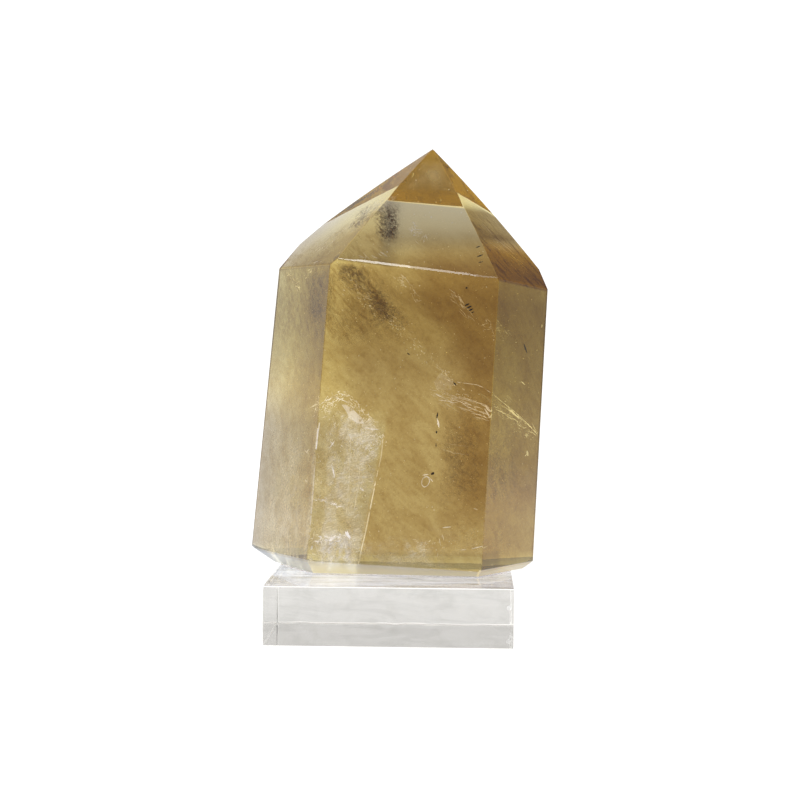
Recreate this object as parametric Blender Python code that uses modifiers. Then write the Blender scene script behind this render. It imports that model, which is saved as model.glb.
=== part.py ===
"""Citrine crystal point standing on a clear acrylic block.

Metres, +Z up. The block's underside lies on Z = 0 with its centre at the origin,
the block's front face looks along -Y, and the crystal rests on the block's top.
"""

import math

import bmesh
import bpy
from mathutils import Vector

MM = 0.001

# Display block, a square offcut of thick acrylic sheet with eased edges.
BLOCK_SIDE = 76.2 * MM
BLOCK_HEIGHT = 18.3 * MM
BLOCK_EDGE = 0.5 * MM
BLOCK_EDGE_STEPS = 2

# Clear gap under the crystal's cut base.
SEAT_GAP = 0.3 * MM
SEAT = Vector((0.0, 0.0, BLOCK_HEIGHT + SEAT_GAP))

# The rough that the crystal's faces are cut from.
ROUGH_SIDE = 400 * MM

# Worn width of the crystal's polished edges.
CRYSTAL_EDGE = 0.25 * MM
SHARP_ANGLE = math.radians(3)

# Each face is a plane: the compass direction it looks in, in degrees from the
# front towards the right, its lean above level in degrees, and its distance
# in mm from the middle of the block's top.
PRISM_FACES = {
    "front": (-3.2, 2.3, 9.6),
    "front right": (58.0, -1.3, 29.75),
    "back right": (115.4, -3.1, 47.55),
    "back": (177.3, -2.6, 38.75),
    "back left": (-123.9, 4.9, 62.7),
    "front left": (-64.4, 4.5, 28.0),
}
POINT_FACES = {
    "front": (2.0, 38.4, 65.2),
    "front right": (62.3, 38.75, 84.05),
    "back right": (117.3, 38.3, 101.95),
    "back": (174.4, 33.0, 96.95),
    "front left": (-64.8, 46.6, 85.1),
}
# The bevel ground round the flat base: steep and narrow along the front, broad
# and shallow where the two rear corners were never ground down to the seat.
BASE_BEVEL = {
    "front": (-4.3, -21.0, 7.85),
    "front right": (58.1, -30.0, 24.8),
    "back right": (115.1, -64.6, 18.6),
    "back": (177.3, -30.0, 32.6),
    "back left": (-134.0, -78.0, 9.4),
    "front left": (-63.6, -28.5, 22.3),
}


def clear_scene():
    for old in list(bpy.data.objects):
        bpy.data.objects.remove(old, do_unlink=True)


def material(name, colour, roughness):
    made = bpy.data.materials.new(name)
    made.use_nodes = True
    shader = made.node_tree.nodes["Principled BSDF"]
    shader.inputs["Base Color"].default_value = (*colour, 1.0)
    shader.inputs["Roughness"].default_value = roughness
    shader.inputs["Metallic"].default_value = 0.0
    return made


def add_object(name, bm, look, home):
    bmesh.ops.recalc_face_normals(bm, faces=bm.faces)
    mesh = bpy.data.meshes.new(name)
    bm.to_mesh(mesh)
    bm.free()
    mesh.materials.append(look)
    made = bpy.data.objects.new(name, mesh)
    home.objects.link(made)
    return made


def facing(compass, lean):
    """The outward direction of a face from its compass direction and its lean."""
    turn, rise = math.radians(compass), math.radians(lean)
    level = math.cos(rise)
    return Vector((math.sin(turn) * level, -math.cos(turn) * level, math.sin(rise)))


def grind(bm, outward, distance):
    """Cuts away everything beyond a plane and closes the stone with a flat face."""
    geometry = bm.verts[:] + bm.edges[:] + bm.faces[:]
    cut = bmesh.ops.bisect_plane(
        bm,
        geom=geometry,
        dist=1e-7,
        plane_co=outward * distance,
        plane_no=outward,
        clear_outer=True,
    )
    rim = [item for item in cut["geom_cut"] if isinstance(item, bmesh.types.BMEdge)]
    bmesh.ops.holes_fill(bm, edges=rim, sides=0)


def build_block(home):
    bm = bmesh.new()
    bmesh.ops.create_cube(bm, size=1.0)
    bmesh.ops.scale(bm, vec=(BLOCK_SIDE, BLOCK_SIDE, BLOCK_HEIGHT), verts=bm.verts)
    look = material("clear_acrylic", (0.86, 0.88, 0.87), 0.08)
    block = add_object("acrylic_block", bm, look, home)
    block.location.z = BLOCK_HEIGHT / 2
    edge = block.modifiers.new("eased_edges", "BEVEL")
    edge.width = BLOCK_EDGE
    edge.segments = BLOCK_EDGE_STEPS
    return block


def build_crystal(home):
    bm = bmesh.new()
    bmesh.ops.create_cube(bm, size=ROUGH_SIDE)
    for faces in (PRISM_FACES, POINT_FACES, BASE_BEVEL):
        for compass, lean, distance in faces.values():
            grind(bm, facing(compass, lean), distance * MM)
    grind(bm, Vector((0.0, 0.0, -1.0)), 0.0)
    look = material("citrine_quartz", (0.62, 0.42, 0.13), 0.12)
    crystal = add_object("citrine_point", bm, look, home)
    crystal.location = SEAT
    edge = crystal.modifiers.new("polished_edges", "BEVEL")
    edge.width = CRYSTAL_EDGE
    edge.segments = 1
    edge.limit_method = "ANGLE"
    edge.angle_limit = SHARP_ANGLE
    return crystal


clear_scene()
collection = bpy.data.collections.new("citrine_crystal_point")
bpy.context.scene.collection.children.link(collection)
build_block(collection)
build_crystal(collection)
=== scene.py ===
import math
import random

import bmesh
import bpy
from mathutils import Matrix, Vector, noise


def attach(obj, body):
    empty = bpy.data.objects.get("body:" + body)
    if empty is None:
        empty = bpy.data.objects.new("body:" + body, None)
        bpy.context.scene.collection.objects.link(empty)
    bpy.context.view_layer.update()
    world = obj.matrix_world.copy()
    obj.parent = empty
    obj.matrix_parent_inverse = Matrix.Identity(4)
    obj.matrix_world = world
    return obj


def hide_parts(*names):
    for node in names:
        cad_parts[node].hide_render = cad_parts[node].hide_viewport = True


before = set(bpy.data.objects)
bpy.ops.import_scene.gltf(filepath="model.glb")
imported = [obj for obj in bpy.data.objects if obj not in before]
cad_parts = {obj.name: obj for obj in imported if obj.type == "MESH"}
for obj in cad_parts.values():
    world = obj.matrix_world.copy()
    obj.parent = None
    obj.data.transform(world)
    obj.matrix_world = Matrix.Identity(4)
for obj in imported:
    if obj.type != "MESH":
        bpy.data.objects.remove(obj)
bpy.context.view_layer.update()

MM = 0.001
SEED = 41
noise.seed_set(SEED)


# Display block: a square sawn from thick cast acrylic sheet, its edges scraped and
# flamed, so they are rounded and a little wavy. Years of handling have left small
# nicks along the edges. It lies loose on the table.
BLOCK_SIDE = 76.2 * MM
BLOCK_HEIGHT = 18.3 * MM
BLOCK_EDGE = 0.35 * MM
BLOCK_EDGE_STEPS = 3
BLOCK_GRID = 1.5 * MM
NICK_DEPTH = 0.35 * MM
NICK_SPACING = 4.0 * MM
NICK_FROM, NICK_RANGE = 0.22, 0.4
ACRYLIC_IOR = 1.49
ACRYLIC_ABSORBS = (0.80, 0.79, 0.74)
ACRYLIC_DENSITY = 5.0
BLACK = (0.0, 0.0, 0.0)
WELD = 1e-7
WEAR = "wear"


def slice_up(bm, spacing, axis):
    """Cuts every face along evenly spaced planes, so that the shape can bend."""
    places = [vertex.co[axis] for vertex in bm.verts]
    normal = Vector([float(i == axis) for i in range(3)])
    step = math.floor(min(places) / spacing) + 1
    while step * spacing < max(places):
        bmesh.ops.bisect_plane(
            bm,
            geom=bm.verts[:] + bm.edges[:] + bm.faces[:],
            dist=WELD,
            plane_co=normal * step * spacing,
            plane_no=normal,
        )
        step += 1


def put_in_scene(name, bm, material):
    """Turns a finished bmesh into a smooth-shaded object at the origin."""
    for face in bm.faces:
        face.smooth = True
    mesh = bpy.data.meshes.new(name)
    bm.to_mesh(mesh)
    bm.free()
    mesh.materials.append(material)
    made = bpy.data.objects.new(name, mesh)
    bpy.context.scene.collection.objects.link(made)
    return made


def finish_piece(name, bm, material, stands_for=None):
    """Puts a piece in the scene, riding on the object and in its material slot."""
    piece = put_in_scene(name, bm, material)
    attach(piece, "root")
    if stands_for:
        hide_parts(stands_for)
    return piece


def keep_faces_flat(piece):
    """Shades each rounded edge on its own, without bending the big faces beside it."""
    polish = piece.modifiers.new("flat polish", "WEIGHTED_NORMAL")
    polish.weight = 100
    polish.mode = "FACE_AREA"
    polish.keep_sharp = True


class Signal:
    """A socket in a material's nodes. Arithmetic on it adds Math nodes."""

    def __init__(self, tree, socket=None):
        self.tree = tree
        self.socket = socket

    def node(self, kind, settings=None, inputs=None, output=0):
        """Adds a node of that kind, with its settings and inputs, and gives an output."""
        made = self.tree.nodes.new("ShaderNode" + kind)
        for name, value in (settings or {}).items():
            if name == "stops":
                ramp = made.color_ramp.elements
                while len(ramp) < len(value):
                    ramp.new(1.0)
                for element, (spot, colour) in zip(ramp, value):
                    element.position = spot
                    element.color = (*colour, 1.0)
            else:
                setattr(made, name, value)
        for name, value in (inputs or {}).items():
            if isinstance(value, Signal):
                self.tree.links.new(value.socket, made.inputs[name])
            elif made.inputs[name].type == "RGBA":
                made.inputs[name].default_value = (*value, 1.0)
            else:
                made.inputs[name].default_value = value
        return Signal(self.tree, made.outputs[output])

    def maths(self, operation, *values):
        return self.node("Math", {"operation": operation}, dict(enumerate(values)))

    def __add__(self, other):
        return self.maths("ADD", self, other)

    def __radd__(self, other):
        return self.maths("ADD", other, self)

    def __sub__(self, other):
        return self.maths("SUBTRACT", self, other)

    def __rsub__(self, other):
        return self.maths("SUBTRACT", other, self)

    def __mul__(self, other):
        return self.maths("MULTIPLY", self, other)

    def __rmul__(self, other):
        return self.maths("MULTIPLY", other, self)

    def most(self, other):
        """The larger of two signals."""
        return self.maths("MAXIMUM", self, other)

    def rise(self, low, high):
        """0 below low and 1 above high, or the other way round if low is the larger."""
        if low > high:
            return 1 - self.rise(high, low)
        return self.node(
            "MapRange",
            {"interpolation_type": "SMOOTHSTEP"},
            {"Value": self, "From Min": low, "From Max": high},
        )

    def band(self, low, high, soft):
        """1 between low and high, fading to 0 over soft outside them."""
        return self.rise(low - soft, low) * self.rise(high + soft, high)

    def grain(self, size, detail=3.0, stretch=(1.0, 1.0, 1.0), turn=0.0, bend=0.0):
        """Noise from 0 to 1 with lumps of that size in mm. They are drawn out along x,
        y and z by stretch, then turned clockwise by that many degrees as the front sees
        them, and bend curls them."""
        axes = self.node(
            "Mapping",
            {"vector_type": "TEXTURE"},
            {
                "Vector": self,
                "Rotation": (0.0, math.radians(turn), 0.0),
                "Scale": stretch,
            },
        )
        return self.node(
            "TexNoise",
            {},
            {
                "Vector": axes,
                "Scale": 1.0 / size,
                "Detail": detail,
                "Roughness": 0.6,
                "Distortion": bend,
            },
        )

    def dyed(self, amount, colour):
        """This colour multiplied by another where amount is 1."""
        return self.node(
            "Mix",
            {"data_type": "RGBA", "blend_type": "MULTIPLY"},
            {0: amount, 6: self, 7: colour},
            output=2,
        )

    def mixed(self, amount, colour):
        """This colour where amount is 0, the other where it is 1."""
        return self.node(
            "Mix", {"data_type": "RGBA"}, {0: amount, 6: self, 7: colour}, output=2
        )


def new_material(name):
    """A material, its Principled shader, and where on the piece it shades, in mm."""
    material = bpy.data.materials.new(name)
    material.use_nodes = True
    tree = material.node_tree
    start = Signal(tree)
    spot = start.node("TexCoord", output=3)
    spot = start.node(
        "VectorMath", {"operation": "SCALE"}, {0: spot, "Scale": 1000.0}
    )
    parts = [start.node("SeparateXYZ", {}, {0: spot}, output=i) for i in range(3)]
    return material, tree.nodes["Principled BSDF"], spot, *parts


def plain(start, colour):
    """One colour as a signal, for patterns to build on."""
    return start.node("Mix", {"data_type": "RGBA"}, {0: 0.0, 6: colour, 7: colour}, output=2)


def wire(shader, name, signal):
    signal.tree.links.new(signal.socket, shader.inputs[name])


def bumped(height, depth):
    """A normal from a height signal of 0 to 1, that many metres deep."""
    return height.node(
        "Bump", {}, {"Height": height, "Strength": 1.0, "Distance": depth}
    )


def make_clear(material, shader, ior, absorbs, density):
    """Plain transmission and IOR, with the depth colour from absorption."""
    shader.inputs["IOR"].default_value = ior
    shader.inputs["Transmission Weight"].default_value = 1.0
    tree = material.node_tree
    volume = tree.nodes.new("ShaderNodeVolumeAbsorption")
    volume.inputs["Color"].default_value = (*absorbs, 1.0)
    volume.inputs["Density"].default_value = density
    output = tree.nodes["Material Output"]
    tree.links.new(volume.outputs[0], output.inputs["Volume"])


acrylic, shader, spot, _, y, z = new_material("cast_acrylic")
make_clear(acrylic, shader, ACRYLIC_IOR, ACRYLIC_ABSORBS, ACRYLIC_DENSITY)
worn = spot.node("Attribute", {"attribute_name": WEAR}, output=2)
wipes = spot.grain(4.0, 5.0, (5.0, 5.0, 1.0), 4.0, 0.8)
clouds = spot.grain(9.0, 4.0, bend=1.2)
clear = plain(spot, (0.75, 0.74, 0.725))
clear = clear.dyed(wipes.rise(0.45, 0.7), (0.86, 0.86, 0.855))
clear = clear.dyed(clouds.rise(0.45, 0.7), (0.92, 0.92, 0.91))
# painted shade: the front face is dyed darker below 7.5 mm
lower_front_shade = z.rise(7.7, 7.3) * y.rise(-37.4, -37.9)
clear = clear.dyed(lower_front_shade, (0.62, 0.61, 0.60))
clear = clear.mixed(worn, (0.98, 0.98, 0.97))
wire(shader, "Base Color", clear)
scuffs = spot.grain(0.5, 3.0, (9.0, 9.0, 1.0), 25.0)
wire(shader, "Roughness", scuffs.rise(0.55, 0.8) * 0.05 + worn * 0.55)
# painted light: the rounded edges glow pale, less so up the upright edges, and dust on the top
# face glows faintly blue
upright = z.band(1.2, 17.1, 0.5) * 0.3
edge_and_dust_glow = plain(spot, BLACK).mixed(worn * (1 - upright), (0.55, 0.545, 0.53))
glowing_dust = z.rise(18.1, 18.25) * spot.grain(5.0, 4.0, (4.0, 1.0, 1.0)).rise(0.3, 0.7)
edge_and_dust_glow = edge_and_dust_glow.mixed(glowing_dust * (1 - worn), (0.24, 0.25, 0.29))
wire(shader, "Emission Color", edge_and_dust_glow)
shader.inputs["Emission Strength"].default_value = 1.0
wire(shader, "Normal", bumped(spot.grain(22.0, 2.0, (1.0, 1.0, 0.5)), 0.08 * MM))

block = bmesh.new()
wear = block.verts.layers.float.new(WEAR)
bmesh.ops.create_cube(block, size=1.0)
bmesh.ops.scale(block, vec=(BLOCK_SIDE, BLOCK_SIDE, BLOCK_HEIGHT), verts=block.verts)
bmesh.ops.translate(block, vec=(0.0, 0.0, BLOCK_HEIGHT / 2), verts=block.verts)
bmesh.ops.bevel(
    block,
    geom=block.edges[:],
    offset=BLOCK_EDGE,
    segments=BLOCK_EDGE_STEPS,
    profile=0.5,
    affect="EDGES",
    material=-1,
)
slice_up(block, BLOCK_GRID, 0)
slice_up(block, BLOCK_GRID, 1)
half = BLOCK_SIDE / 2 - BLOCK_EDGE
for vertex in block.verts:
    outside = [
        max(abs(vertex.co.x) - half, 0.0),
        max(abs(vertex.co.y) - half, 0.0),
        max(abs(vertex.co.z - BLOCK_HEIGHT / 2) - BLOCK_HEIGHT / 2 + BLOCK_EDGE, 0.0),
    ]
    past_edge = sorted(outside)[1]
    vertex[wear] = min(1.0, past_edge / (0.3 * BLOCK_EDGE))
    if past_edge > 0.05 * BLOCK_EDGE:
        chance = noise.noise(vertex.co / NICK_SPACING + Vector((3.1, 7.7, 1.3)))
        bite = NICK_DEPTH * max(0.0, chance - NICK_FROM) / NICK_RANGE
        vertex.co -= Vector((vertex.co.x, vertex.co.y, 0.0)).normalized() * bite
keep_faces_flat(
    finish_piece("clear_block", block, acrylic, "acrylic_block")
)


# Air bubbles: three round bubbles caught near the right end of the block when the
# sheet was cast. They are flattened a little against its front face.
BUBBLES = ((36.5, 12.5, 0.72), (36.4, 2.4, 0.68), (37.2, 3.7, 0.34))
BUBBLE_Y = -37.0
BUBBLE_FLATNESS = 0.5

bubble_glow, shader, spot, *_ = new_material("bubble_glow")
shader.inputs["Roughness"].default_value = 0.3
# painted highlight: the bubbles are white and glow of their own
shader.inputs["Emission Strength"].default_value = 0.6
mottle = spot.grain(0.4).rise(0.4, 0.7)
wire(shader, "Base Color", plain(spot, (0.98, 0.98, 0.97)).mixed(mottle, (0.85, 0.85, 0.84)))
shader.inputs["Emission Color"].default_value = (1.0, 1.0, 0.99, 1.0)
bubbles = bmesh.new()
for across, height, radius in BUBBLES:
    bmesh.ops.create_icosphere(
        bubbles,
        subdivisions=3,
        radius=radius * MM,
        matrix=Matrix.Translation(Vector((across, BUBBLE_Y, height)) * MM)
        @ Matrix.Diagonal((1.0, BUBBLE_FLATNESS, 1.0, 1.0)),
    )
finish_piece("air_bubbles", bubbles, bubble_glow)


# Citrine point: one quartz crystal, its six sides and five point faces ground and
# polished by hand, so the point faces belly out a little. The flat base is ground
# with a bevel all round. It stands on the block under its own weight.
SEAT = Vector((0.0, 0.0, 18.6 * MM))
ROUGH_SIDE = 400 * MM
APEX = Vector((11.1, 25.8, 155.5)) * MM
GROWTH = Vector((0.0745, 0.0424, 0.9963))
BELLY = 0.9 * MM
BELLY_FROM = 90 * MM
CRYSTAL_EDGE = 0.3 * MM
CRYSTAL_EDGE_STEPS = 3
QUARTZ_IOR = 1.544
QUARTZ_ABSORBS = (0.823, 0.684, 0.03)
QUARTZ_DENSITY = 31.0
SHARP = math.radians(24)
RUBBED = math.radians(12)
SLICE = 2.5 * MM
FOOT = SEAT.z + 8 * MM
LIP_DEPTH = 0.05 * MM
LIP_LEFT, LIP_RIGHT = Vector((-17.8, -4.5, 118.7)) * MM, Vector((32.5, -7.5, 112.6)) * MM
LIP_FACING = (-0.9, 20.3)
# each ground face: degrees from the front towards the right, degrees that it leans up
# from upright, and its distance in mm from the middle of the seat
PRISM_FACES = (
    (-3.2, 2.3, 9.6),
    (58.0, -1.3, 29.75),
    (115.4, -3.1, 47.55),
    (177.3, -2.6, 38.75),
    (-123.9, 4.9, 62.7),
    (-64.4, 4.5, 28.0),
)
POINT_FACES = (
    (2.0, 38.4, 65.2),
    (62.3, 38.75, 84.05),
    (117.3, 38.3, 101.95),
    (174.4, 33.0, 96.95),
    (-64.8, 46.6, 85.1),
)
BASE_BEVELS = (
    (-4.3, -21.0, 7.85),
    (58.1, -30.0, 24.8),
    (115.1, -64.6, 18.6),
    (177.3, -30.0, 32.6),
    (-134.0, -78.0, 9.4),
    (-63.6, -28.5, 22.3),
)
FRONT, RIGHT, LEFT = PRISM_FACES[0], PRISM_FACES[1], PRISM_FACES[5]
TOP_FRONT, TOP_RIGHT, TOP_LEFT = POINT_FACES[0], POINT_FACES[1], POINT_FACES[4]
SKIN_FROM, SKIN_FULL = -0.7, -0.3
SEAM = 0.12


def facing(compass, lean):
    """Outward direction: degrees from the front towards the right, and above level."""
    turn, rise = math.radians(compass), math.radians(lean)
    level = math.cos(rise)
    return Vector((math.sin(turn) * level, -math.cos(turn) * level, math.sin(rise)))


def grind(bm, outward, distance):
    """Takes off all that lies beyond a flat lap held that far from the seat."""
    cut = bmesh.ops.bisect_plane(
        bm,
        geom=bm.verts[:] + bm.edges[:] + bm.faces[:],
        dist=WELD,
        plane_co=SEAT + outward * distance,
        plane_no=outward,
        clear_outer=True,
    )
    rim = [item for item in cut["geom_cut"] if isinstance(item, bmesh.types.BMEdge)]
    bmesh.ops.holes_fill(bm, edges=rim, sides=0)


point = bmesh.new()
wear = point.verts.layers.float.new(WEAR)
bmesh.ops.create_cube(point, size=ROUGH_SIDE)
bmesh.ops.translate(point, vec=SEAT, verts=point.verts)
for compass, lean, distance in PRISM_FACES + POINT_FACES + BASE_BEVELS:
    grind(point, facing(compass, lean), distance * MM)
grind(point, Vector((0.0, 0.0, -1.0)), 0.0)
front_lip = facing(*LIP_FACING)
grind(point, front_lip, front_lip.dot(LIP_LEFT.lerp(LIP_RIGHT, 0.5) - SEAT) - LIP_DEPTH)


def is_rubbed(edge):
    """Edges up the sides and at the point wear; those round the foot do not."""
    return max(vertex.co.z for vertex in edge.verts) > FOOT


for edge in point.edges:
    worn_down = is_rubbed(edge) and edge.calc_face_angle() > SHARP
    edge.smooth = worn_down or edge.calc_face_angle() < RUBBED
rounded = bmesh.ops.bevel(
    point,
    geom=[e for e in point.edges if e.calc_face_angle() > SHARP and is_rubbed(e)],
    offset=CRYSTAL_EDGE,
    segments=CRYSTAL_EDGE_STEPS,
    profile=0.5,
    affect="EDGES",
    material=-1,
)["faces"]
for vertex in point.verts:
    vertex[wear] = float(all(face in rounded for face in vertex.link_faces))
slice_up(point, SLICE, 2)
for vertex in point.verts:
    on_axis = APEX + GROWTH * ((vertex.co.z - APEX.z) / GROWTH.z)
    out = Vector((vertex.co.x - on_axis.x, vertex.co.y - on_axis.y, 0.0))
    reach = 0.0
    for compass, lean, distance in PRISM_FACES:
        outward = facing(compass, lean)
        room = distance * MM - outward.dot(on_axis - SEAT)
        reach = max(reach, outward.dot(out) / room)
    if out.length > 0.0 and reach < 1.0 and vertex.co.z > BELLY_FROM:
        vertex.co += out.normalized() * BELLY * 4.0 * reach * (1.0 - reach)
bmesh.ops.recalc_face_normals(point, faces=point.faces)
if point.calc_volume(signed=True) < 0.0:
    bmesh.ops.reverse_faces(point, faces=point.faces)

citrine, shader, spot, x, y, z = new_material("citrine_quartz")
make_clear(citrine, shader, QUARTZ_IOR, QUARTZ_ABSORBS, QUARTZ_DENSITY)


def past(face):
    """How far a spot lies outside one ground face of the crystal, in mm."""
    compass, lean, distance = face
    outward = facing(compass, lean)
    return x * outward.x + y * outward.y + (z - SEAT.z / MM) * outward.z - distance


def skin_of(face, *beside):
    """1 on one ground face, and 0 just under it and on the faces beside it."""
    skin = past(face).rise(SKIN_FROM, SKIN_FULL)
    for other in beside:
        skin = skin * (past(face) - past(other)).rise(-SEAM, SEAM)
    return skin


front_side = skin_of(FRONT, LEFT, RIGHT)
right_side, left_side = skin_of(RIGHT, FRONT), skin_of(LEFT, FRONT)
top_front = skin_of(TOP_FRONT, TOP_LEFT, TOP_RIGHT)
top_right, top_left = skin_of(TOP_RIGHT, TOP_FRONT), skin_of(TOP_LEFT, TOP_FRONT)

# broad zones with drifting borders: golden brown over most of the sides and paler down
# the left of the milky veil's rim; towards the point and the right it is darkened by painted
# shade
drift = spot.grain(26.0, 3.0, bend=0.8)
wander = (drift - 0.5) * 22.0
sides = z.rise(121.0, 113.0) * z.rise(19.0, 24.0)
tint = plain(spot, (0.97, 0.96, 0.94))
veil_rim = (x + (60.5 - z) * 0.19 + 3.3 + (drift - 0.5) * 1.5).rise(-1.2, 0.8)
upper_left = (x + wander).rise(-24.0, -8.0)
reaches = z.rise(60.0, 74.0)
golden = (upper_left * reaches + veil_rim * (1 - reaches)) * sides
tint = tint.dyed(golden, (0.645, 0.58, 0.50))
tint = tint.dyed(golden * z.rise(96.0, 84.0), (0.90, 0.89, 0.95))
# painted shade: the front side outside the golden zone is dyed darker
tint = tint.dyed(front_side * (1 - golden) * sides, (0.84, 0.82, 0.82))
tint = tint.dyed((1 - golden) * z.rise(78.0, 60.0) * sides, (0.66, 0.67, 0.86))
# painted shade towards the point, left off the upper left point face and the back of the top
painted_top_shade = (z + wander).band(99.0, 112.0, 34.0) * (1 - top_left * 0.9)
painted_top_shade = painted_top_shade * (1 - y.rise(34.0, 38.0) * z.rise(104.0, 112.0))
tint = tint.dyed(painted_top_shade, (0.70, 0.65, 0.55))
# painted shade towards the right, left off the right side face
painted_right_shade = (x + wander * 0.9 + z.rise(92.0, 108.0) * 12.0).rise(12.0, 26.0)
painted_right_shade = painted_right_shade * (z + wander * 1.3).band(46.0, 108.0, 20.0)
tint = tint.dyed(painted_right_shade * (1 - right_side), (0.66, 0.54, 0.34))

# painted light and shade, face by face: the front of the point is painted as a grey window
# up to a slanting line, a painted shadow, with a dimmer tip above it; the face to its right is
# painted dark brown low down as painted shadow, and each other face gets its own painted shade
window_top = (z + x * 0.095).rise(137.5, 136.9)
grey_window = x.rise(-7.0, -2.0) * z.rise(113.0, 127.0) * window_top * top_front
tint = tint.dyed(grey_window, (0.25, 0.26, 0.47))
tint = tint.dyed(top_front * x.rise(4.0, -4.0) * window_top, (0.40, 0.38, 0.41))
tint = tint.dyed(top_front * (1 - window_top) * z.rise(154.0, 145.0), (0.74, 0.73, 0.78))
tint = tint.dyed(top_front * z.band(142.5, 152.0, 3.0), (0.76, 0.80, 0.88))
tint = tint.dyed(left_side, (0.78, 0.69, 0.25))
tint = tint.dyed(left_side * z.rise(98.0, 66.0), (0.73, 0.66, 0.86))
tint = tint.dyed(right_side, (0.94, 0.86, 0.27))
tint = tint.dyed(right_side * z.rise(66.0, 44.0), (0.66, 0.55, 0.50))
tint = tint.dyed(top_right, (1.0, 0.98, 0.80))
top_right_low = (z + x * 0.53).rise(150.5, 149.9) * top_right
tint = tint.dyed(top_right_low * z.band(126.0, 134.0, 4.0), (0.18, 0.13, 0.08))
tint = tint.dyed(top_right_low * z.rise(130.0, 120.0), (0.44, 0.24, 0.012))
fibres = spot.grain(0.9, 4.0, (9.0, 2.0, 1.0), 46.0, 0.3).rise(0.50, 0.64)
tint = tint.dyed(fibres * top_right_low * z.rise(136.0, 131.0), (0.28, 0.17, 0.05))
tint = tint.dyed(top_left, (1.0, 1.0, 0.95))
tint = tint.dyed(top_left * x.rise(-6.0, -34.0), (0.42, 0.34, 0.24))

# what runs through the colour itself, from broad patches to a fine mottle
patches = spot.grain(8.0, 4.0, (1.6, 1.0, 1.0), 40.0, 0.8)
tint = tint.dyed(patches.rise(0.42, 0.62) * sides, (0.82, 0.76, 0.64))
streaks = spot.grain(2.4, 5.0, (4.0, 1.5, 1.0), 48.0, 0.6)
tint = tint.dyed(streaks.rise(0.40, 0.72) * sides * 0.9, (0.82, 0.76, 0.66))
scars = spot.grain(2.2, 5.0, (3.5, 1.5, 1.0), 55.0, 1.0)
scarred = scars.rise(0.47, 0.60) * (x + wander * 0.4).rise(2.0, -10.0)
scarred = scarred * z.band(96.0, 114.0, 8.0)
tint = tint.dyed(scarred, (0.70, 0.63, 0.50))
mottle = spot.grain(1.1, 3.0, bend=0.5).rise(0.45, 0.75)
tint = tint.dyed(mottle * sides, (0.78, 0.74, 0.64))

bevel_right = z.rise(27.0, 25.0) * y.rise(0.0, -4.0) * x.rise(-12.0, -10.5)
tint = tint.dyed(bevel_right, (0.55, 0.52, 0.44))
wire(shader, "Base Color", tint)

# the ground bevels round the foot are frosted, and worn edges are dull; the bevels and
# their worn edges also glow, as painted light
worn = spot.node("Attribute", {"attribute_name": WEAR}, output=2)
bevels = [skin_of(bevel, side) for bevel, side in zip(BASE_BEVELS, PRISM_FACES)]
ground = bevels[0]
for bevel in bevels[1:]:
    ground = ground.most(bevel)
ground = z.rise(27.0, 26.0) * ground
wire(shader, "Roughness", worn * (ground * 0.2 + 0.06) + ground * 0.32)
painted_bevel_glow = plain(spot, BLACK).mixed(ground, (0.09, 0.13, 0.20))
painted_bevel_glow = painted_bevel_glow.mixed(ground * bevels[1], (0.32, 0.30, 0.26))
painted_bevel_glow = painted_bevel_glow.mixed(worn * ground, (0.42, 0.38, 0.30))
wire(shader, "Emission Color", painted_bevel_glow)
shader.inputs["Emission Strength"].default_value = 1.0
ripple = spot.grain(16.0, 2.0) + spot.grain(2.2, 2.0) * 0.03
wire(shader, "Normal", bumped(ripple, 0.12 * MM))

crystal = finish_piece("citrine_crystal", point, citrine, "citrine_point")
keep_faces_flat(crystal)


# Milky veils: old cracks in the quartz that healed with tiny droplets of fluid
# trapped in them. Each is a thin, slightly wavy film with no edge of its own, thick
# in cloudy patches and clear between them. The biggest hang in the lower left.
VEIL_GRID = 18
WISP_GRID = 9
WISP_BEND = 0.16
THICKNESS = "thickness"
LEAST_COVER = 0.25
STONE_FACES = [
    (facing(compass, lean), distance)
    for compass, lean, distance in PRISM_FACES + POINT_FACES + BASE_BEVELS
]
scatter = random.Random(SEED)


def tucked_in(place):
    """The same place in mm, moved back under the crystal's faces if it lies outside."""
    inner = place - SEAT / MM
    for _ in range(2):
        for outward, distance in STONE_FACES:
            inner -= outward * max(0.0, outward.dot(inner) - distance + LEAST_COVER)
    inner.z = max(inner.z, LEAST_COVER)
    return inner + SEAT / MM


def thickness_of(bm):
    """The layer that says how thick a film is at each of its vertices."""
    layers = bm.verts.layers.float
    return layers.get(THICKNESS) or layers.new(THICKNESS)


def add_film(bm, rows, thickness, waves, columns=VEIL_GRID, soft=0.25):
    """Adds one film through rows of points in mm. Its thickness fades at its rim."""
    layer = thickness_of(bm)
    made = bmesh.ops.create_grid(
        bm, x_segments=columns, y_segments=columns, size=0.5
    )["verts"]
    for vertex in made:
        across, down = vertex.co.x + 0.5, vertex.co.y + 0.5
        place = down * (len(rows) - 1)
        row = min(int(place), len(rows) - 2)
        left = Vector(rows[row][0]).lerp(Vector(rows[row + 1][0]), place - row)
        right = Vector(rows[row][1]).lerp(Vector(rows[row + 1][1]), place - row)
        middle = left.lerp(right, across)
        push = noise.noise_vector(middle / 9.0) * waves
        vertex.co = tucked_in(middle + push) * MM
        rim = min(across, 1.0 - across, down, 1.0 - down)
        vertex[layer] = thickness * min(1.0, rim / soft)


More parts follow.
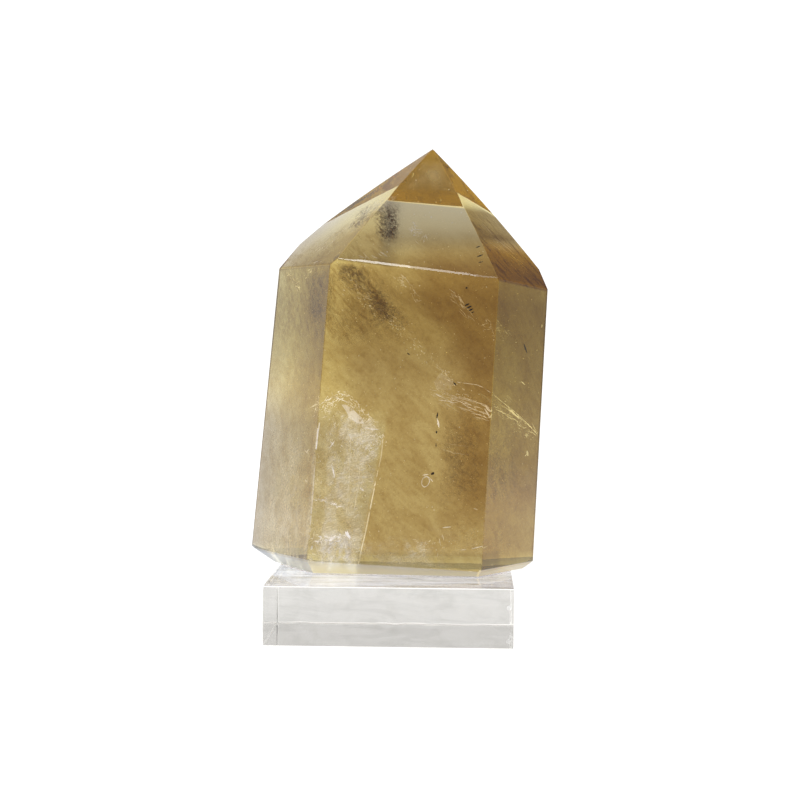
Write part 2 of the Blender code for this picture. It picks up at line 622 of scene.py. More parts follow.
def add_wisp(bm, start, end, width, thickness, bend, seed):
    """Adds one curved thread that tapers to nothing at both ends. Sizes in mm."""
    layer = thickness_of(bm)
    length = (end - start).length
    side = (end - start).cross(Vector((0.2, 1.0, 0.1))).normalized()
    drift = noise.noise_vector(start * 0.37 + Vector((seed, 0.0, 0.0)))
    made = bmesh.ops.create_grid(bm, x_segments=WISP_GRID, y_segments=1, size=0.5)["verts"]
    for vertex in made:
        run, across = vertex.co.x + 0.5, vertex.co.y * 2.0
        place = start.lerp(end, run)
        place += drift * bend * length * (4.0 * run * (1.0 - run))
        kink = noise.noise_vector(place * 0.8) * 0.03 * length
        place += kink + side * across * width * 0.5 * math.sin(math.pi * run)
        vertex.co = tucked_in(place) * MM
        vertex[layer] = thickness


def add_wisps(bm, start, end, count, spread, length, width, fan, along=None):
    """Threads strewn between two points, most of them running the same way."""
    start, end = Vector(start), Vector(end)
    run = Vector(along) if along else end - start
    run = run.normalized()
    for _ in range(count):
        middle = start.lerp(end, scatter.random())
        middle += Vector([scatter.gauss(0.0, spread) for _ in range(3)])
        lean = Vector([scatter.gauss(0.0, fan) for _ in range(3)])
        size = length * scatter.uniform(0.4, 1.4)
        reach = (run + lean).normalized() * size / 2
        add_wisp(
            bm,
            middle - reach,
            middle + reach,
            width * scatter.uniform(0.6, 1.6),
            scatter.uniform(0.35, 1.0),
            WISP_BEND,
            scatter.uniform(0.0, 9.0),
        )


def thin_film(name, colour, glow, clouds_of):
    """A film's material: how much shows is its thickness times its own clouds."""
    material, shader, spot, *_ = new_material(name)
    shader.inputs["Base Color"].default_value = (*colour, 1.0)
    shader.inputs["Roughness"].default_value = 0.6
    shader.inputs["Specular IOR Level"].default_value = 0.0
    # each film also glows in its own colour, painted light standing in for the light it scatters
    shader.inputs["Emission Color"].default_value = (*colour, 1.0)
    shader.inputs["Emission Strength"].default_value = glow
    amount = spot.node("Attribute", {"attribute_name": THICKNESS}, output=2)
    wire(shader, "Alpha", clouds_of(spot, amount))
    return material


def milky_clouds(spot, amount):
    lumps = spot.grain(7.0, 5.0, (1.0, 1.0, 1.5), 8.0, 1.4)
    threads = spot.grain(0.8, 5.0, (3.5, 1.0, 1.0), -18.0, 0.8)
    return amount * lumps.rise(0.38, 0.62) * (threads.rise(0.42, 0.66) * 0.8 + 0.4)


milk = thin_film("milky_film", (0.98, 0.94, 0.83), 0.60, milky_clouds)
veils = bmesh.new()
# each veil: the left and right end of its rows in mm, from the top down, then how
# thick it is, how wavy, and how far in its rim is soft
for rows, thickness, waves, soft in (
    ([((-22, 4.5, 72), (-4, 4.2, 67)), ((-21.5, 5, 60), (-4, 3.8, 58))], 1.3, 1.4, 0.2),
    (
        [
            ((-22, 4.5, 66), (-4, 4.2, 63)),
            ((-21.5, 5, 44), (-6, 3.8, 42)),
            ((-24, 5.5, 21), (-11, 3.5, 20)),
        ],
        0.9,
        0.5,
        0.06,
    ),
    ([((-23, 4, 32), (-9, 3, 31)), ((-25, 3, 20), (-11, 3, 20))], 1.6, 0.8, 0.2),
    ([((-25, 16, 70), (-6, 15, 62)), ((-28, 17, 22), (-9, 15, 21))], 0.7, 2.0, 0.25),
    ([((-28, 27, 60), (-8, 28, 52)), ((-30, 27, 21), (-12, 28, 21))], 0.7, 2.5, 0.25),
    ([((-42, 30, 66), (-26, 6, 62)), ((-44, 33, 22), (-29, 3, 22))], 0.8, 1.5, 0.2),
    ([((-46, 36, 44), (-27, 4, 40)), ((-47, 37, 23), (-29, 1, 22))], 1.3, 1.2, 0.2),
    ([((-40, 34, 100), (-24, 8, 96)), ((-44, 34, 40), (-27, 6, 40))], 0.35, 1.5, 0.25),
    ([((-33, 34, 55), (-16, 12, 50)), ((-36, 33, 22), (-20, 8, 22))], 0.8, 2.0, 0.25),
    ([((-30, 0, 30), (18, -4, 27)), ((-28, 1, 20), (20, -4, 20))], 0.6, 0.8, 0.3),
    ([((-2, -2, 31), (12, -3, 30)), ((-2, -1, 20), (14, -2, 20))], 0.8, 0.8, 0.25),
    ([((14, 20, 34), (34, 14, 34)), ((14, 20, 21), (33, 14, 21))], 0.4, 1.0, 0.25),
    ([((-2, 18, 134), (-22, 28, 130)), ((-10, 8, 125), (-30, 30, 121))], 0.2, 0.6, 0.2),
    ([((0, 14, 138.5), (-12, 26, 138)), ((-4, 9, 132), (-18, 26, 132))], 0.4, 0.3, 0.15),
    ([((-24, 2, 29), (-12, 1, 28)), ((-25, 2, 21), (-12, 1, 21))], 1.6, 0.8, 0.25),
    ([((-22, -5.4, 30.5), (-13, -5.6, 33)), ((-24, -6, 21.5), (-12, -6.2, 21.5))], 1.1, 0.3, 0.2),
    ([((-18, -4, 50), (-15.4, -4, 52)), ((-18.5, -4.6, 40), (-16, -4.8, 40))], 1.0, 0.3, 0.3),
    ([((-25, 0.5, 24), (-11, -1.5, 24)), ((-22, 3.5, 19.4), (-11, 2, 19.4))], 1.8, 0.2, 0.2),
    ([((-44, 34, 25), (-26, 4, 25)), ((-37, 30, 19.6), (-23, 6, 19.6))], 1.8, 0.2, 0.2),
):
    add_film(veils, rows, thickness, waves, soft=soft)
finish_piece("milky_veils", veils, milk)


def tip_clouds(spot, amount):
    lumps = spot.grain(4.5, 3.0, (1.0, 1.0, 1.6), -12.0, 0.6)
    return amount * (lumps.rise(0.30, 0.70) * 0.6 + 0.4)


honey = thin_film("golden_cloud", (0.86, 0.64, 0.26), 0.42, tip_clouds)
tip = bmesh.new()
cloud = [((8, 19.5, 154), (14, 20.5, 154)), ((0, 12.5, 141.5), (21, 12.5, 141.5))]
add_film(tip, cloud, 0.60, 0.2, soft=0.48)
finish_piece("tip_cloud", tip, honey)


# Rims and threads of the veils: where a film ends or kinks it catches the light as
# a bright line, and round the top of the big veil it is torn into curly threads.
def unbroken(spot, amount):
    breaks = spot.grain(1.5, 2.0)
    return amount * breaks.rise(0.28, 0.5)


bright_rim = thin_film("bright_rim", (1.0, 0.96, 0.87), 0.9, unbroken)
rims = bmesh.new()
# the veil's edges: points in mm along each, how wide it is and how thick
for path, width, thickness in (
    (((-23.3, -5.4, 66.4), (-23.9, -5.5, 62.5), (-24.4, -5.6, 57.6)), 0.35, 0.9),
    (((-24.5, -5.6, 57), (-25.3, -6.1, 42.7), (-26.2, -6.5, 29)), 0.25, 0.45),
    (((-3.3, 4.2, 61), (-3.9, 4.0, 55), (-5.4, 3.8, 47.7)), 0.35, 0.55),
    (((-5.4, 3.8, 47.7), (-7.8, 3.5, 34.9), (-11.1, 4.1, 19.5)), 0.4, 1.0),
    (((-13.6, 3.5, 62), (-13.9, 3.5, 50), (-14.8, 3.5, 36)), 0.3, 0.35),
    (((-10.4, 3.5, 54), (-11.0, 3.5, 46), (-12.6, 3.5, 36)), 0.3, 0.35),
):
    rows = [
        ((spot_x - width / 2, spot_y, spot_z), (spot_x + width / 2, spot_y, spot_z))
        for spot_x, spot_y, spot_z in path
    ]
    add_film(rims, rows, thickness, 0.15, soft=0.02)
# two loose flakes of cleaved quartz: one in the torn top, one right of the middle
torn_flake = [
    ((-16.6, -5, 72.2), (-15.4, -5.1, 72.2)),
    ((-15.3, -5.2, 70.3), (-12.8, -5.3, 70.7)),
    ((-14, -5.4, 67.8), (-9.9, -5.6, 67.9)),
    ((-11.2, -5.6, 66), (-9.3, -5.7, 66)),
]
add_film(rims, torn_flake, 0.5, 0.1, soft=0.02)
pale_flake = [
    ((14.6, -5.9, 82.3), (15.6, -5.9, 82.2)),
    ((12.4, -5.9, 79.6), (19, -6.2, 79.9)),
    ((13.5, -6, 77), (18, -6.3, 76.7)),
]
add_film(rims, pale_flake, 0.13, 0.1, soft=0.03)


def under(face, depth, across, height):
    """The place in mm that lies so deep under a ground face, so far across and up."""
    compass, lean, distance = face
    outward = facing(compass, lean)
    rest = distance - depth - outward.x * across - outward.z * (height - SEAT.z / MM)
    return Vector((across, rest / outward.y, height))


def add_marks(face, depth, bend, seed, marks):
    """Adds threads given by the distance across and the height of both their ends."""
    for left, left_height, right, right_height, width, thickness in marks:
        start = under(face, depth, left, left_height)
        end = under(face, depth, right, right_height)
        add_wisp(rims, start, end, width, thickness, bend, seed)


# loose bright threads under the left face, beside the big veil
left_flecks = (
    (-26, 70.5, -23.1, 72, 0.5, 0.9),
    (-24.1, 70, -23.6, 70.9, 0.9, 1),
    (-27.2, 56.1, -26.1, 57.5, 0.5, 1),
    (-28, 57.2, -26.1, 55.9, 0.4, 0.9),
    (-27.4, 47.5, -26.6, 47, 0.6, 0.9),
)
# those under the front face, from the torn top of the veil down to its foot, and
# the three by the flat bubble
front_flecks = (
    (-23.1, 72, -19.5, 74.1, 0.3, 0.8),
    (-19.5, 74.4, -13.5, 72.6, 0.25, 0.7),
    (-20.3, 58.2, -18.4, 60.8, 0.35, 0.9),
    (-20, 60.5, -18.7, 58.9, 0.25, 0.7),
    (-19.6, 53.2, -18.3, 48.5, 0.45, 0.8),
    (-24, 42.3, -21.5, 41.4, 0.3, 0.45),
    (-20.1, 41.2, -17.3, 39.8, 0.3, 0.45),
    (-10.3, 45.7, -9.1, 44.8, 0.7, 0.9),
    (-9.6, 65, -4.2, 64.1, 0.5, 0.55),
    (-9.3, 66, -7.4, 67.9, 0.25, 0.6),
    (-7.4, 67.9, -8, 70.1, 0.25, 0.5),
    (-15, 32.1, -13, 29.9, 0.9, 1),
    (-14.3, 32.4, -13.4, 29.3, 0.5, 1),
    (-25.4, 28.7, -22.8, 28.5, 0.5, 0.8),
    (-19.3, 29.5, -17.8, 30.8, 0.5, 0.7),
    (13.8, 68.2, 14.5, 65, 0.55, 0.9),
    (9.3, 50.1, 11.5, 50.5, 0.35, 0.9),
    (11.8, 49.2, 12.7, 48, 0.35, 0.8),
)
add_marks(LEFT, 1.6, 0.1, 2.0, left_flecks)
add_marks(FRONT, 2.0, 0.1, 2.0, front_flecks)
crown = (
    (-22, 4, 69),
    (-20, 1.7, 73.5),
    (-15.5, 1.5, 75),
    (-10.7, 1, 70),
    (-6.8, 0.6, 65.4),
    (-3.6, 2, 60),
)
for start, end in zip(crown, crown[1:]):
    add_wisps(rims, start, end, 34, 0.9, 1.7, 0.13, 0.9)
add_wisps(rims, (-18, 2.5, 70), (-8, 3, 46), 60, 2.8, 1.3, 0.12, 1.2)
add_wisps(rims, (-25, 3, 26), (-11, 2, 25), 60, 2.0, 2.4, 0.16, 1.0)
add_wisps(rims, (-42, 26, 30), (-29, 4, 28), 70, 3.0, 2.4, 0.16, 1.0)
add_wisps(rims, (-26, 6, 78), (-24, 4, 40), 30, 1.5, 1.6, 0.14, 1.0)
add_wisps(rims, (-35.4, 32, 114.6), (-30.5, 20.6, 109.1), 30, 1.0, 3.0, 0.26, 0.6)
add_wisps(rims, (-28.2, 16.6, 113), (-25.5, 11.5, 115.5), 10, 0.6, 2.4, 0.22, 0.4)
add_wisps(rims, (-14, -4, 63), (-5, -4, 56), 70, 1.6, 1.8, 0.10, 1.2)
add_wisps(rims, (-25, -5.4, 28), (-14, -5.6, 31), 50, 0.6, 1.3, 0.3, 0.9)
add_wisps(rims, (-24, -5.2, 42.5), (-16.5, -5.4, 40), 24, 0.4, 1.2, 0.2, 0.6)
add_wisps(rims, (-17, 2, 114), (-9, 2, 106), 30, 2.2, 1.5, 0.09, 0.6, (1, 0, -0.9))
add_wisps(rims, (0, 0, 113), (7, -1, 107), 30, 1.0, 2.0, 0.10, 0.5, (1, 0, -0.9))
add_wisps(rims, (10, -3, 30), (14, -3, 24), 30, 2.5, 2.0, 0.12, 1.0)
# threads of the feathered crack, and of its fan to the right
add_wisps(rims, (-12, 6, 107), (2, 6, 97), 24, 0.9, 1.8, 0.09, 0.3)
add_wisps(rims, (2, 5, 97), (20, 4, 78), 36, 0.4, 1.6, 0.09, 0.25)
add_wisps(rims, (13, -5, 76), (29, -6, 70), 46, 1.0, 2.6, 0.09, 0.2)
add_wisps(rims, (32, -3, 71), (42, 12, 65), 46, 0.9, 2.4, 0.10, 0.22)
# the fan's strokes, from the middle of the front to its right-hand edge
front_fan = (
    (14.1, 74.5, 21.6, 73.3, 0.16, 0.6),
    (17.2, 75.8, 24.1, 73.9, 0.16, 0.6),
    (18.5, 74.2, 26.7, 71.5, 0.2, 0.8),
    (20.4, 75.2, 26, 73.7, 0.18, 0.6),
    (21.6, 72.7, 29.8, 69.6, 0.25, 0.9),
    (22.9, 73.9, 30.5, 71.8, 0.2, 0.8),
    (19.8, 72, 27.3, 69.3, 0.18, 0.7),
    (24.2, 69.9, 30.2, 68, 0.25, 0.9),
    (25.5, 68.6, 30.5, 67.4, 0.2, 0.8),
    (27.3, 72.7, 30.8, 71.5, 0.25, 0.8),
    (28.6, 71.5, 30.5, 68, 0.5, 0.9),
    (28.9, 72.4, 30.5, 70.2, 0.8, 0.9),
    (13.9, 59.3, 24.3, 56.7, 0.14, 0.4),
    (16.4, 60.3, 24.3, 59.2, 0.12, 0.3),
)
# and on down across the right face
right_fan = (
    (30.5, 72.2, 33.4, 71.1, 0.25, 0.7),
    (31.2, 71.5, 36.4, 68.7, 0.45, 0.8),
    (32.8, 72.4, 37.1, 69.6, 0.25, 0.7),
    (35.1, 71.9, 40.4, 66.8, 0.7, 0.8),
    (35.4, 70.6, 39.4, 67.2, 0.5, 0.8),
    (34.4, 69.1, 38.4, 67.2, 0.3, 0.7),
    (36.7, 68.3, 39.8, 66.2, 0.3, 0.7),
    (40.8, 66.8, 44.2, 63.3, 0.4, 0.9),
    (42.5, 65, 45.6, 61.6, 0.45, 0.9),
    (41.8, 63.5, 45.3, 61.3, 0.3, 0.8),
    (43.5, 66, 45.6, 62.2, 0.3, 0.8),
    (39.6, 79.7, 41, 78.4, 0.5, 1),
)
add_marks(FRONT, 2.0, 0.12, 5.0, front_fan)
add_marks(RIGHT, 1.65, 0.12, 5.0, right_fan)
# the crack's upper edge, one bright line that turns the corner between two faces
CRACK_LINE = 0.2
for face, depth, path in (
    (FRONT, 2.0, ((19.7, 79.6), (24.1, 79), (26.3, 78.7), (28.5, 77.8), (30.7, 76.2))),
    (RIGHT, 1.65, ((30.5, 75.9), (34.4, 72.6), (37.7, 69.9), (41.4, 66.4), (45.6, 61.9))),
):
    half = Vector((0.0, 0.0, CRACK_LINE / 2))
    line = [under(face, depth, across, height) for across, height in path]
    add_film(rims, [(place - half, place + half) for place in line], 0.9, 0.1, soft=0.02)
add_wisps(rims, (18, -5, 108), (24, -4, 100), 26, 0.7, 3.0, 0.12, 0.25, (0.7, 0, -0.8))
add_wisps(rims, (26, -4, 98), (36, 2, 94), 20, 1.0, 2.2, 0.12, 0.6)
# threads under the point faces
add_wisps(rims, (-12, -1, 118), (-2, 0, 119), 10, 0.5, 2.4, 0.14, 0.2, (1, 0, -0.8))
add_wisps(rims, (5, 12, 127), (9, 14, 121), 30, 0.8, 2.2, 0.14, 0.5)
add_wisps(rims, (26, 12, 128), (42, 19, 114), 40, 1.4, 7.0, 0.12, 0.12)
add_wisps(rims, (-26, 28, 126), (-12, 16, 130), 40, 2.0, 5.0, 0.12, 0.2, (1, -0.8, 1.2))
add_wisps(rims, (-30, 34, 122), (-20, 14, 121), 30, 1.5, 4.0, 0.12, 0.3, (1, -0.8, 1.2))
finish_piece("veil_rims", rims, bright_rim)


# Feathered crack: one long crack that runs down through the stone from the upper
# left to the right-hand side, nearly edge-on to the front. It has partly healed, and
# its silvery fibres fan out to the right.
def feathered(spot, amount):
    fibres = spot.grain(0.9, 4.0, (8.0, 2.0, 1.0), 30.0, 0.4)
    gaps = spot.grain(7.0, 3.0)
    return amount * fibres.rise(0.5, 0.78) * gaps.rise(0.3, 0.6)


fibre = thin_film("silvery_fibres", (0.98, 0.95, 0.86), 0.55, feathered)
crack = bmesh.new()
add_film(
    crack,
    [
        ((-15, 4, 109), (-14, 20, 111)),
        ((-6, 3, 102.5), (-6, 20, 104.5)),
        ((2, 2, 96), (2, 20, 98)),
        ((10, 1, 88), (11, 20, 90)),
        ((20, 1, 77), (20, 20, 80)),
        ((28, 2, 72), (27, 20, 77)),
        ((36, 8, 66), (34, 22, 73)),
        ((42, 12, 60), (41, 22, 68)),
    ],
    0.8,
    0.8,
    columns=36,
)
add_film(crack, [((10, -3, 80), (28, -4, 74)), ((12, -1, 72), (29, 1, 65))], 1.5, 0.8)
add_film(crack, [((29, -2, 76), (44, 14, 63)), ((30, 0, 69), (44, 16, 57))], 1.5, 0.8)
finish_piece("feathered_crack", crack, fibre)


# Smoky patches: brown, grainy clouds where the stone is stained, thickest in the
# top left corner, just under the point faces, and down the right of the front.
def smoky(spot, amount):
    lumps = spot.grain(4.0, 5.0, (2.0, 1.0, 1.0), 52.0, 0.2)
    grit = spot.grain(0.9, 5.0, (1.5, 1.0, 1.0), 55.0)
    return amount * lumps.rise(0.34, 0.60) * grit.rise(0.40, 0.60)


smoke = thin_film("smoky_stain", (0.32, 0.17, 0.03), 0.12, smoky)
stains = bmesh.new()
# upright sheets behind the front face: where each corner lies across and up, the
# depths at which the sheet is repeated, and how strong it is
for corners, depths, strength in (
    (((-18.4, 117.2), (-8, 116.2), (-18.4, 110.5), (-7.5, 110)), (-2, 1, 4), 0.55),
    (((-14, 113), (-3.5, 112), (-7, 96), (1.5, 97)), (2, 5, 8), 0.36),
    (((-18, 111), (-12, 114), (2, 94), (5, 99)), (-1, 3, 7), 0.4),
    (((-22, 100), (2, 112), (-20, 90), (4, 92)), (12, 20), 0.18),
):
    for depth in depths:
        upper_left, upper_right, lower_left, lower_right = (
            (across, depth, height) for across, height in corners
        )
        sheet = [(upper_left, upper_right), (lower_left, lower_right)]
        add_film(stains, sheet, strength, 1.2)
# three sheets one behind the other under the left face
left_top, left_foot = Vector((-27.6, 14, 114.2)), Vector((-27, 12, 98))
right_top, right_foot = Vector((-20.8, 0.8, 114.6)), Vector((-21.4, -0.4, 98))
for depth, strength in ((0.0, 0.6), (2.5, 0.55), (5.0, 0.35)):
    back = Vector((0.5, 1.0, 0.0)) * depth
    sheet = [(left_top + back, right_top + back), (left_foot + back, right_foot + back)]
    add_film(stains, sheet, strength, 0.6, soft=0.2)
# three behind the front face of the point, then two down the right of the stone
for rows, strength, waves, soft in (
    ([((-9, 34, 131), (1, 34, 131)), ((-8, 34, 117), (0, 34, 117))], 1.0, 0.5, 0.2),
    ([((-8, 30, 130), (0, 30, 130)), ((-6, 30, 116), (0, 30, 116))], 0.9, 0.5, 0.2),
    ([((-7, 22, 134), (0, 22, 134)), ((-5, 22, 120), (0, 22, 120))], 0.6, 0.5, 0.25),
    ([((16, 18, 66), (28, 18, 66)), ((14, 18, 38), (28, 18, 38))], 0.3, 2.0, 0.25),
    ([((16, 28, 70), (30, 28, 70)), ((14, 28, 40), (30, 28, 40))], 0.3, 2.0, 0.25),
):
    add_film(stains, rows, strength, waves, soft=soft)
finish_piece("smoky_patches", stains, smoke)


# Slivers and specks: short bright needles and crumbs of fluid and broken quartz,
# scattered all through the stone and crowded along the cracks and veils.
LOOSE_SPECKS = 900
SPECK_COVER = 0.8


def add_sliver(bm, middle, along, length, width, thickness=None):
    """One thin crystal splinter, pointed at both ends. Sizes in mm."""
    along = Vector(along).normalized()
    turn = along.to_track_quat("X", "Z").to_matrix().to_4x4()
    size = Matrix.Diagonal((length / 2, width / 2, (thickness or width) / 2, 1.0))
    bmesh.ops.create_icosphere(
        bm,
        subdivisions=1,
        radius=MM,
        matrix=Matrix.Translation(tucked_in(Vector(middle)) * MM) @ turn @ size,
    )


def add_spray(bm, start, end, count, spread, length, width):
    """Slivers strewn along a line, most of them pointing the way that it runs."""
    start, end = Vector(start), Vector(end)
    run = (end - start).normalized()
    for _ in range(count):
        middle = start.lerp(end, scatter.random())
        middle += Vector([scatter.gauss(0.0, spread) for _ in range(3)])
        lean = Vector([scatter.gauss(0.0, 0.35) for _ in range(3)])
        add_sliver(
            bm,
            middle,
            run + lean,
            length * scatter.uniform(0.35, 1.3),
            1.7 * width * scatter.uniform(0.6, 1.4),
        )


def in_stone(place, cover):
    """Whether a point in mm is inside the crystal, at least cover under its faces."""
    inner = place - SEAT / MM
    return inner.z > cover and all(
        outward.dot(inner) < distance - cover for outward, distance in STONE_FACES
    )


glint, shader, spot, *_ = new_material("bright_slivers")
shader.inputs["Roughness"].default_value = 0.35
# painted glint: the slivers, specks and the flat bubble's ring glow of their own
shader.inputs["Emission Strength"].default_value = 0.7
shade = spot.grain(3.0, 2.0).rise(0.4, 0.65)
wire(shader, "Base Color", plain(spot, (0.98, 0.96, 0.9)).mixed(shade, (0.85, 0.78, 0.62)))
shader.inputs["Emission Color"].default_value = (1.0, 0.97, 0.9, 1.0)
bright = bmesh.new()
add_spray(bright, (-22, 4, 69), (-15.5, 1.5, 75), 16, 0.8, 0.5, 0.16)
add_spray(bright, (-15.5, 1.5, 75), (-4, 2, 60), 30, 1.2, 0.5, 0.16)
add_spray(bright, (-18, 3, 68), (-8, 3, 24), 60, 3.5, 0.5, 0.14)
add_spray(bright, (-40, 22, 60), (-28, 4, 28), 50, 5.0, 0.5, 0.16)
add_spray(bright, (-14, 8, 109), (20, 7, 78), 60, 1.0, 0.6, 0.14)
add_spray(bright, (15, -3, 78), (44, 14, 61), 50, 1.6, 0.6, 0.14)
# loose needles elsewhere: middle, heading, length and width
for middle, along, length, width in (
    ((17.3, -5.0, 33.6), (1, 0, 0.1), 3.2, 0.35),
    ((26.3, -5.2, 39.5), (1, 0, -0.3), 1.6, 0.25),
    ((26.9, -5.8, 27.4), (1, 0, 0.25), 4.6, 0.3),
    ((22.5, -5.8, 26.6), (1, 0, 0.1), 2.2, 0.2),
    ((-25.6, -2.8, 26.4), (0.3, 0, 1), 1.6, 0.6),
    ((29.9, -2.1, 21.6), (1, 1, 0.4), 0.8, 0.5),
    ((42.1, 12.6, 56.2), (0.3, 0.3, -1), 2.2, 1.1),
    ((41.5, 11.8, 55.6), (0.6, 0.7, 0.5), 1.3, 0.4),
    ((46.5, 18.0, 97.5), (0.1, 0, 1), 1.2, 0.6),
    ((-30.1, 39.0, 123.6), (0.6, -0.2, 0.8), 2.6, 0.3),
):
    add_sliver(bright, middle, along, length, width)
# specks strewn through the whole stone, drawn again until they fall inside it
for _ in range(LOOSE_SPECKS):
    while True:
        middle = Vector(
            (scatter.uniform(-50, 50), scatter.uniform(-12, 46), scatter.uniform(19, 154))
        )
        if in_stone(middle, SPECK_COVER):
            break
    size = 0.12 + 0.22 * scatter.random() ** 3
    add_sliver(bright, middle, [scatter.gauss(0, 1) for _ in range(3)], size * 1.6, size)
finish_piece("bright_slivers", bright, glint)


# Dark grains: a few specks of black iron ore that the crystal grew around, and one
# small striped block of it near the top right of the front.
iron, shader, spot, *_ = new_material("iron_ore")
shader.inputs["Roughness"].default_value = 0.4
rust = spot.grain(0.6, 3.0).rise(0.45, 0.7)
wire(shader, "Base Color", plain(spot, (0.03, 0.018, 0.008)).mixed(rust, (0.16, 0.08, 0.02)))
ore = bmesh.new()
STRIPES = ((2.0, 0.55), (2.2, 0.6), (1.9, 0.55), (1.2, 0.35))
TOP_STRIPE = Vector((23.0, -1.6, 103.9))
STRIPE_STEP = Vector((0.62, 0.1, -0.80))
for step, (length, thickness) in enumerate(STRIPES):
    middle = TOP_STRIPE + STRIPE_STEP * step
    add_sliver(ore, middle, (0.95, 0.1, 0.45), length, 1.0, thickness)
for middle, along, length, width in (
    ((22.8, -1.2, 109.2), (1, 0, 0.4), 0.8, 0.6),
    ((13.9, -4.4, 68.9), (0.2, 0, 1), 2.2, 0.5),
    ((13.7, -4.6, 63.6), (0.2, 0, 1), 0.9, 0.6),
    ((13.6, -4.7, 59.5), (0, 0, 1), 1.4, 0.3),
    ((12.6, -6.0, 50.6), (1, 0, 0.5), 1.4, 0.9),
    ((4.6, 6.0, 88.0), (1, 0, -0.7), 1.2, 0.4),
    ((19.5, 5.0, 78.6), (1, 0, -1), 1.6, 0.5),
    ((39.4, 12.9, 90.2), (0.5, 0.3, -1), 4.2, 0.7),
    ((26.2, 3.4, 121.5), (1, 0.2, 0.5), 1.8, 0.4),
    ((26.8, 0.5, 118.8), (1, 0.2, 0.4), 2.4, 0.5),
    ((27.0, -0.6, 116.6), (1, 0.2, 0.3), 1.8, 0.35),
):
    add_sliver(ore, middle, along, length, width)
finish_piece("dark_grains", ore, iron)


# Pocket: a little round bubble squashed flat, seen as a bright wiry ring.
POCKET_PLACE = Vector((10.4, -6.0, 48.0)) * MM
POCKET_RADIUS = 1.15 * MM
POCKET_WIRE = 0.11 * MM
POCKET_CRINKLE = 0.14 * MM
CRINKLE_SIZE = 0.9 * MM

pocket = bmesh.new()
ring = bmesh.ops.create_circle(
    pocket,
    segments=6,
    radius=POCKET_WIRE,
    matrix=Matrix.Translation((POCKET_RADIUS, 0.0, 0.0)) @ Matrix.Rotation(math.pi / 2, 4, "X"),
)["verts"]
bmesh.ops.spin(
    pocket,
    geom=ring + pocket.edges[:],
    cent=(0.0, 0.0, 0.0),
    axis=(0.0, 0.0, 1.0),
    angle=math.tau,
    steps=28,
    use_merge=True,
)
bmesh.ops.remove_doubles(pocket, verts=pocket.verts, dist=1e-6)
bmesh.ops.transform(
    pocket,
    matrix=Matrix.Translation(POCKET_PLACE)
    @ Matrix.Rotation(math.radians(20), 4, "Y")
    @ Matrix.Rotation(math.radians(80), 4, "X")
    @ Matrix.Diagonal((1.0, 1.5, 1.0, 1.0)),
    verts=pocket.verts,
)
for vertex in pocket.verts:
    vertex.co += noise.noise_vector(vertex.co / CRINKLE_SIZE) * POCKET_CRINKLE
bmesh.ops.recalc_face_normals(pocket, faces=pocket.faces)
finish_piece("flat_bubble", pocket, glint)


# Studio: a white light table that curves up all round into pale walls, under an
# open soft top light.
TABLE_RADIUS = 1.3
COVE_RADIUS = 0.9
COVE_STEPS = 12
BOWL_STEPS = 96
WALL_TOP = 2.4
TABLE_DROP = 0.25 * MM

sweep, shader, spot, x, y, z = new_material("studio_white")
bowl = bmesh.new()
rim = [(0.0, -TABLE_DROP)]
for step in range(COVE_STEPS + 1):
    angle = math.pi / 2 * step / COVE_STEPS
    height = COVE_RADIUS * (1.0 - math.cos(angle)) - TABLE_DROP
    rim.append((TABLE_RADIUS + COVE_RADIUS * math.sin(angle), height))
rim.append((TABLE_RADIUS + COVE_RADIUS, WALL_TOP))
points = [bowl.verts.new((radius, 0.0, height)) for radius, height in rim]
edges = [bowl.edges.new(pair) for pair in zip(points, points[1:])]
bmesh.ops.spin(
    bowl,
    geom=points + edges,
    cent=(0.0, 0.0, 0.0),
    axis=(0.0, 0.0, 1.0),
    angle=math.tau,
    steps=BOWL_STEPS,
    use_merge=True,
)
bmesh.ops.remove_doubles(bowl, verts=bowl.verts, dist=1e-5)
bmesh.ops.recalc_face_normals(bowl, faces=bowl.faces)
bmesh.ops.reverse_faces(bowl, faces=bowl.faces)
put_in_scene("studio_sweep", bowl, sweep)
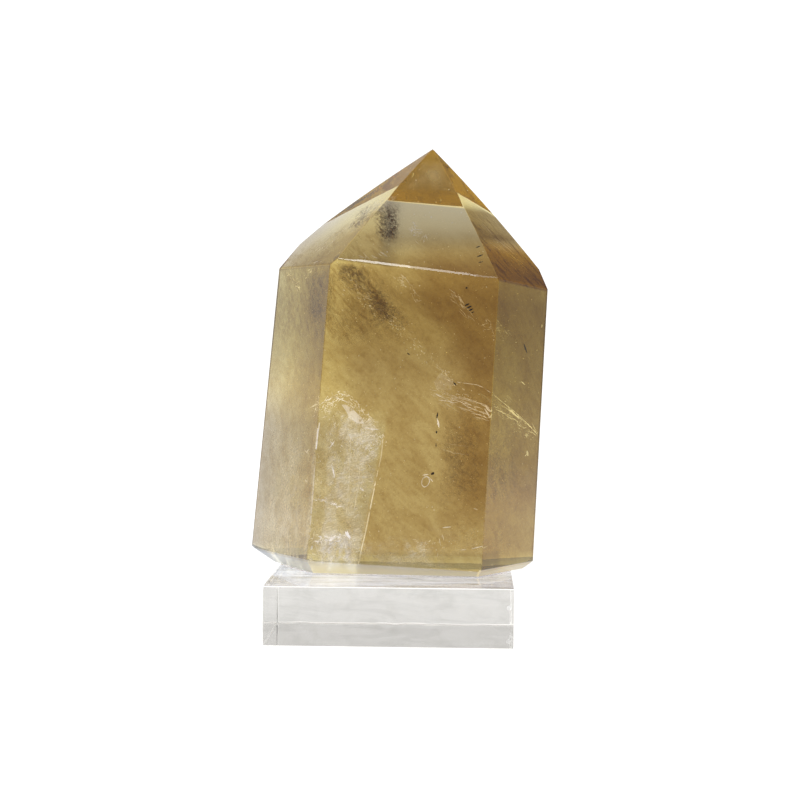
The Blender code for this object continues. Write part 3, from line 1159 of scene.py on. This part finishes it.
# the table and the wall behind the object glow, the rest is dimmer, and high at the back
# on both sides the walls are painted dark, as painted shade
radius = spot.maths("SQRT", x * x + y * y)
aside = spot.maths("ABSOLUTE", x)
backdrop = aside.rise(1250.0, 620.0) * y.rise(-900.0, -280.0) * z.rise(1000.0, 620.0)
table = radius.rise(1700.0, 700.0)
sector = (x.rise(350.0, 1100.0) * 0.9).most(x.rise(-350.0, -900.0) * 0.7)
dim = z.rise(620.0, 950.0) * sector * y.rise(-300.0, 300.0)
front_walls = (aside - y * 1.1).rise(0.0, 300.0) * radius.rise(380.0, 700.0)
lit = backdrop.most(table) * 0.46 + y.rise(-300.0, 500.0) * 0.12 + 0.46
glow = lit * (1 - dim * 0.85) * (1 - front_walls * 0.4)
wire(shader, "Base Color", plain(spot, (0.3, 0.3, 0.3)).mixed(dim, (0.06, 0.06, 0.06)))
shader.inputs["Roughness"].default_value = 1.0
shader.inputs["Specular IOR Level"].default_value = 0.0
wire(shader, "Emission Color", plain(spot, BLACK).mixed(glow, (1.0, 1.0, 1.0)))
shader.inputs["Emission Strength"].default_value = 1.0

scene = bpy.context.scene
scene.world = bpy.data.worlds.new("studio_air")
scene.world.use_nodes = True
air = scene.world.node_tree.nodes["Background"]
air.inputs["Color"].default_value = (1.0, 1.0, 1.0, 1.0)
air.inputs["Strength"].default_value = 0.6


# a strip light over the camera, which fades out towards its right-hand end: where
# each length of it starts and ends across, and its power in watts
STRIP_Y, STRIP_Z = -1.1, 1.12
STRIP_HEIGHT = 0.42
STRIP_AIM = Vector((0.26, -STRIP_Y, 0.11 - STRIP_Z))
for name, left, right, power in (
    ("front_strip", -0.52, -0.07, 5.9),
    ("strip_fade", -0.07, -0.01, 0.45),
    ("strip_end", -0.01, 0.08, 0.30),
):
    lamp = bpy.data.lights.new(name, "AREA")
    lamp.shape = "RECTANGLE"
    lamp.size = right - left
    lamp.size_y = STRIP_HEIGHT
    lamp.energy = power
    strip = bpy.data.objects.new(name, lamp)
    strip.location = ((left + right) / 2, STRIP_Y, STRIP_Z)
    strip.rotation_euler = STRIP_AIM.to_track_quat("-Z", "Y").to_euler()
    scene.collection.objects.link(strip)

camera = bpy.data.cameras.new("camera")
camera.lens = 92.43
camera.clip_start = 0.01
stand = bpy.data.objects.new("camera", camera)
stand.location = (0.0234, -0.6539, 0.0968)
stand.rotation_euler = (1.5352, -0.0084, 0.0333)
scene.collection.objects.link(stand)
scene.camera = stand

scene.view_settings.view_transform = "Standard"
scene.cycles.max_bounces = 16
scene.cycles.transmission_bounces = 16
scene.cycles.glossy_bounces = 8
scene.cycles.transparent_max_bounces = 20
scene.cycles.diffuse_bounces = 1
scene.cycles.sample_clamp_indirect = 6.0
